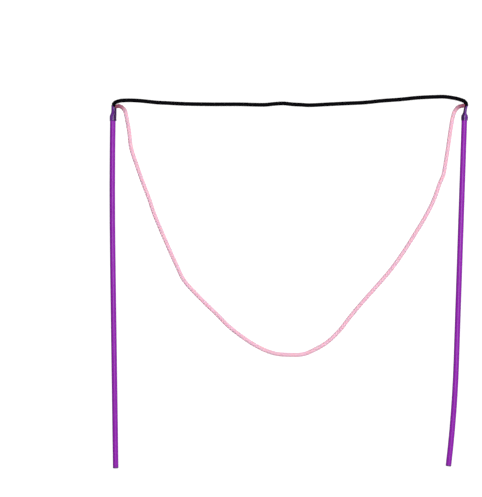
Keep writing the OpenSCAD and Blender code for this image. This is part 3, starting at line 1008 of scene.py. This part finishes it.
class SLEEVES_OT_build(bpy.types.Operator):
    """Lofts the two shrunk sleeves that hold the cords to the rods"""

    bl_idname = "bubble_wand.sleeves"
    bl_label = "Tip sleeves"

    def execute(self, context):
        settings = context.scene.bubble_wand.wands
        material = finish_material(
            "shrunk_sleeve", shared_group("Drawn plastic", plastic_group),
            {"Colour": opaque(settings.sleeve_colour),
             "Streak colour": opaque(settings.sleeve_colour, scale=0.4), "Streaks": 0.6,
             "Gloss roughness": 0.17, "Rubbing": 0.1,
             # Painted shade: the sleeves' inner side turns nearly black
             "Painted inner shade colour": opaque(settings.sleeve_colour, scale=0.1), "Painted inner shade share": settings.inner_painted_shade},
            bump_distance=0.04 * MM, shader_values={"Specular IOR Level": 0.16})
        for plan in (LEFT_SLEEVE, RIGHT_SLEEVE):
            outside = self.rings(plan, settings.wrinkle_depth)
            inside = self.rings(plan, settings.wrinkle_depth, wall=settings.sleeve_wall)
            piece = closed_loft(f"{plan.side}_sleeve", outside + inside[::-1])
            piece.data.materials.append(material)
            # Each ring point's place from the outer side to the inner one, which places the painted shade
            inner = piece.data.attributes.new("inner", "FLOAT", "POINT")
            towards = [plan.inwards * math.cos(math.tau * k / SLEEVE_SIDES) for k in range(SLEEVE_SIDES)]
            inner.data.foreach_set("value", towards * len(outside + inside))
            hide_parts(f"{plan.side}_tip_sleeve")
            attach(piece, f"{plan.side}_wand")
        return {"FINISHED"}

    def rings(self, plan, wrinkle_depth, wall=0.0):
        """Oval rings through the stations. The upper ones slant, so the mouth faces the other wand."""
        wide = smooth_line([Vector((y, x, w)) * MM for y, x, w, _ in plan.stations], SLEEVE_STEP)
        tall = smooth_line([Vector((y, x, h)) * MM for y, x, _, h in plan.stations], SLEEVE_STEP)
        low, high = wide[0].x, wide[-1].x
        rings = []
        for (y, middle, half_width), (_, _, half_height) in zip(wide, tall):
            share = (y - low) / (high - low)
            slant = plan.lean * max(0, (share - SLANT_FROM) / (1 - SLANT_FROM)) ** SLANT_POWER
            ring = []
            for k in range(SLEEVE_SIDES):
                angle = math.tau * k / SLEEVE_SIDES
                across, up = math.cos(angle), math.sin(angle)
                place = Vector((across * CREASES_AROUND, up * CREASES_AROUND, y / CREASE_LENGTH))
                crease = 1 + noise.noise(place) * wrinkle_depth / half_width
                x, z = (half_width - wall) * across, (half_height - wall) * up
                ring.append(Vector((middle + x * crease, y + slant * x, AXIS_HEIGHT + z * crease)))
            rings.append(ring)
        return rings


class RODS_OT_build(bpy.types.Operator):
    """Gives the two plastic rods and their end plugs smooth surfaces and a drawn plastic finish"""

    bl_idname = "bubble_wand.rods"
    bl_label = "Rods and end plugs"

    def execute(self, context):
        settings = context.scene.bubble_wand.wands
        group = shared_group("Drawn plastic", plastic_group)
        tube = finish_material(
            "purple_tube", group,
            {"Colour": opaque(settings.rod_colour),
             "Streak colour": opaque(settings.rod_colour, scale=0.62), "Streaks": 0.6,
             "Gloss roughness": 0.23, "Rubbing": 0.12},
            bump_distance=0.02 * MM, shader_values={"Specular IOR Level": 0.1})
        plug = finish_material(
            "dark_plug", group,
            {"Colour": opaque(settings.plug_colour),
             "Streak colour": opaque(settings.plug_colour, scale=0.5), "Streaks": 0.5,
             "Gloss roughness": 0.3, "Rubbing": 0.2},
            bump_distance=0.02 * MM, shader_values={"Specular IOR Level": 0.3})
        for side in ("left", "right"):
            for node, name, material, slot in (
                    (f"{side}_rod", f"{side}_tube", tube, "rod"),
                    (f"{side}_end_plug", f"{side}_plug", plug, "plug")):
                piece = copy_of_node(name, node)
                piece.data.materials.append(material)
                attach(piece, f"{side}_wand")
        return {"FINISHED"}


class VIEW3D_PT_bubble_wand(bpy.types.Panel):
    """Lists the settings and the operators in the 3D view's sidebar."""

    bl_label = "Bubble wand"
    bl_space_type = "VIEW_3D"
    bl_region_type = "UI"
    bl_category = "Bubble wand"

    def draw(self, context):
        settings = context.scene.bubble_wand
        for group, operators in (
                (settings.stage, ("bubble_wand.stage",)),
                (settings.cords, ("bubble_wand.cords",)),
                (settings.wands, ("bubble_wand.rods", "bubble_wand.sleeves"))):
            box = self.layout.box()
            for name in group.bl_rna.properties.keys():
                if name not in ("rna_type", "name"):
                    box.prop(group, name)
            for operator in operators:
                box.operator(operator)


CLASSES = (
    CordSettings, WandSettings, StageSettings, BubbleWandSettings,
    STAGE_OT_build, CORDS_OT_build, SLEEVES_OT_build, RODS_OT_build,
    VIEW3D_PT_bubble_wand,
)


def register():
    """Registers the classes and gives the scene its settings."""
    for cls in CLASSES:
        bpy.utils.register_class(cls)
    bpy.types.Scene.bubble_wand = PointerProperty(type=BubbleWandSettings)


def unregister():
    """Takes the settings and the classes away again."""
    del bpy.types.Scene.bubble_wand
    for cls in reversed(CLASSES):
        bpy.utils.unregister_class(cls)


def main():
    """Builds the stage and every piece."""
    register()
    bpy.ops.bubble_wand.stage()
    bpy.ops.bubble_wand.cords()
    bpy.ops.bubble_wand.sleeves()
    bpy.ops.bubble_wand.rods()


if __name__ == "__main__":
    main()
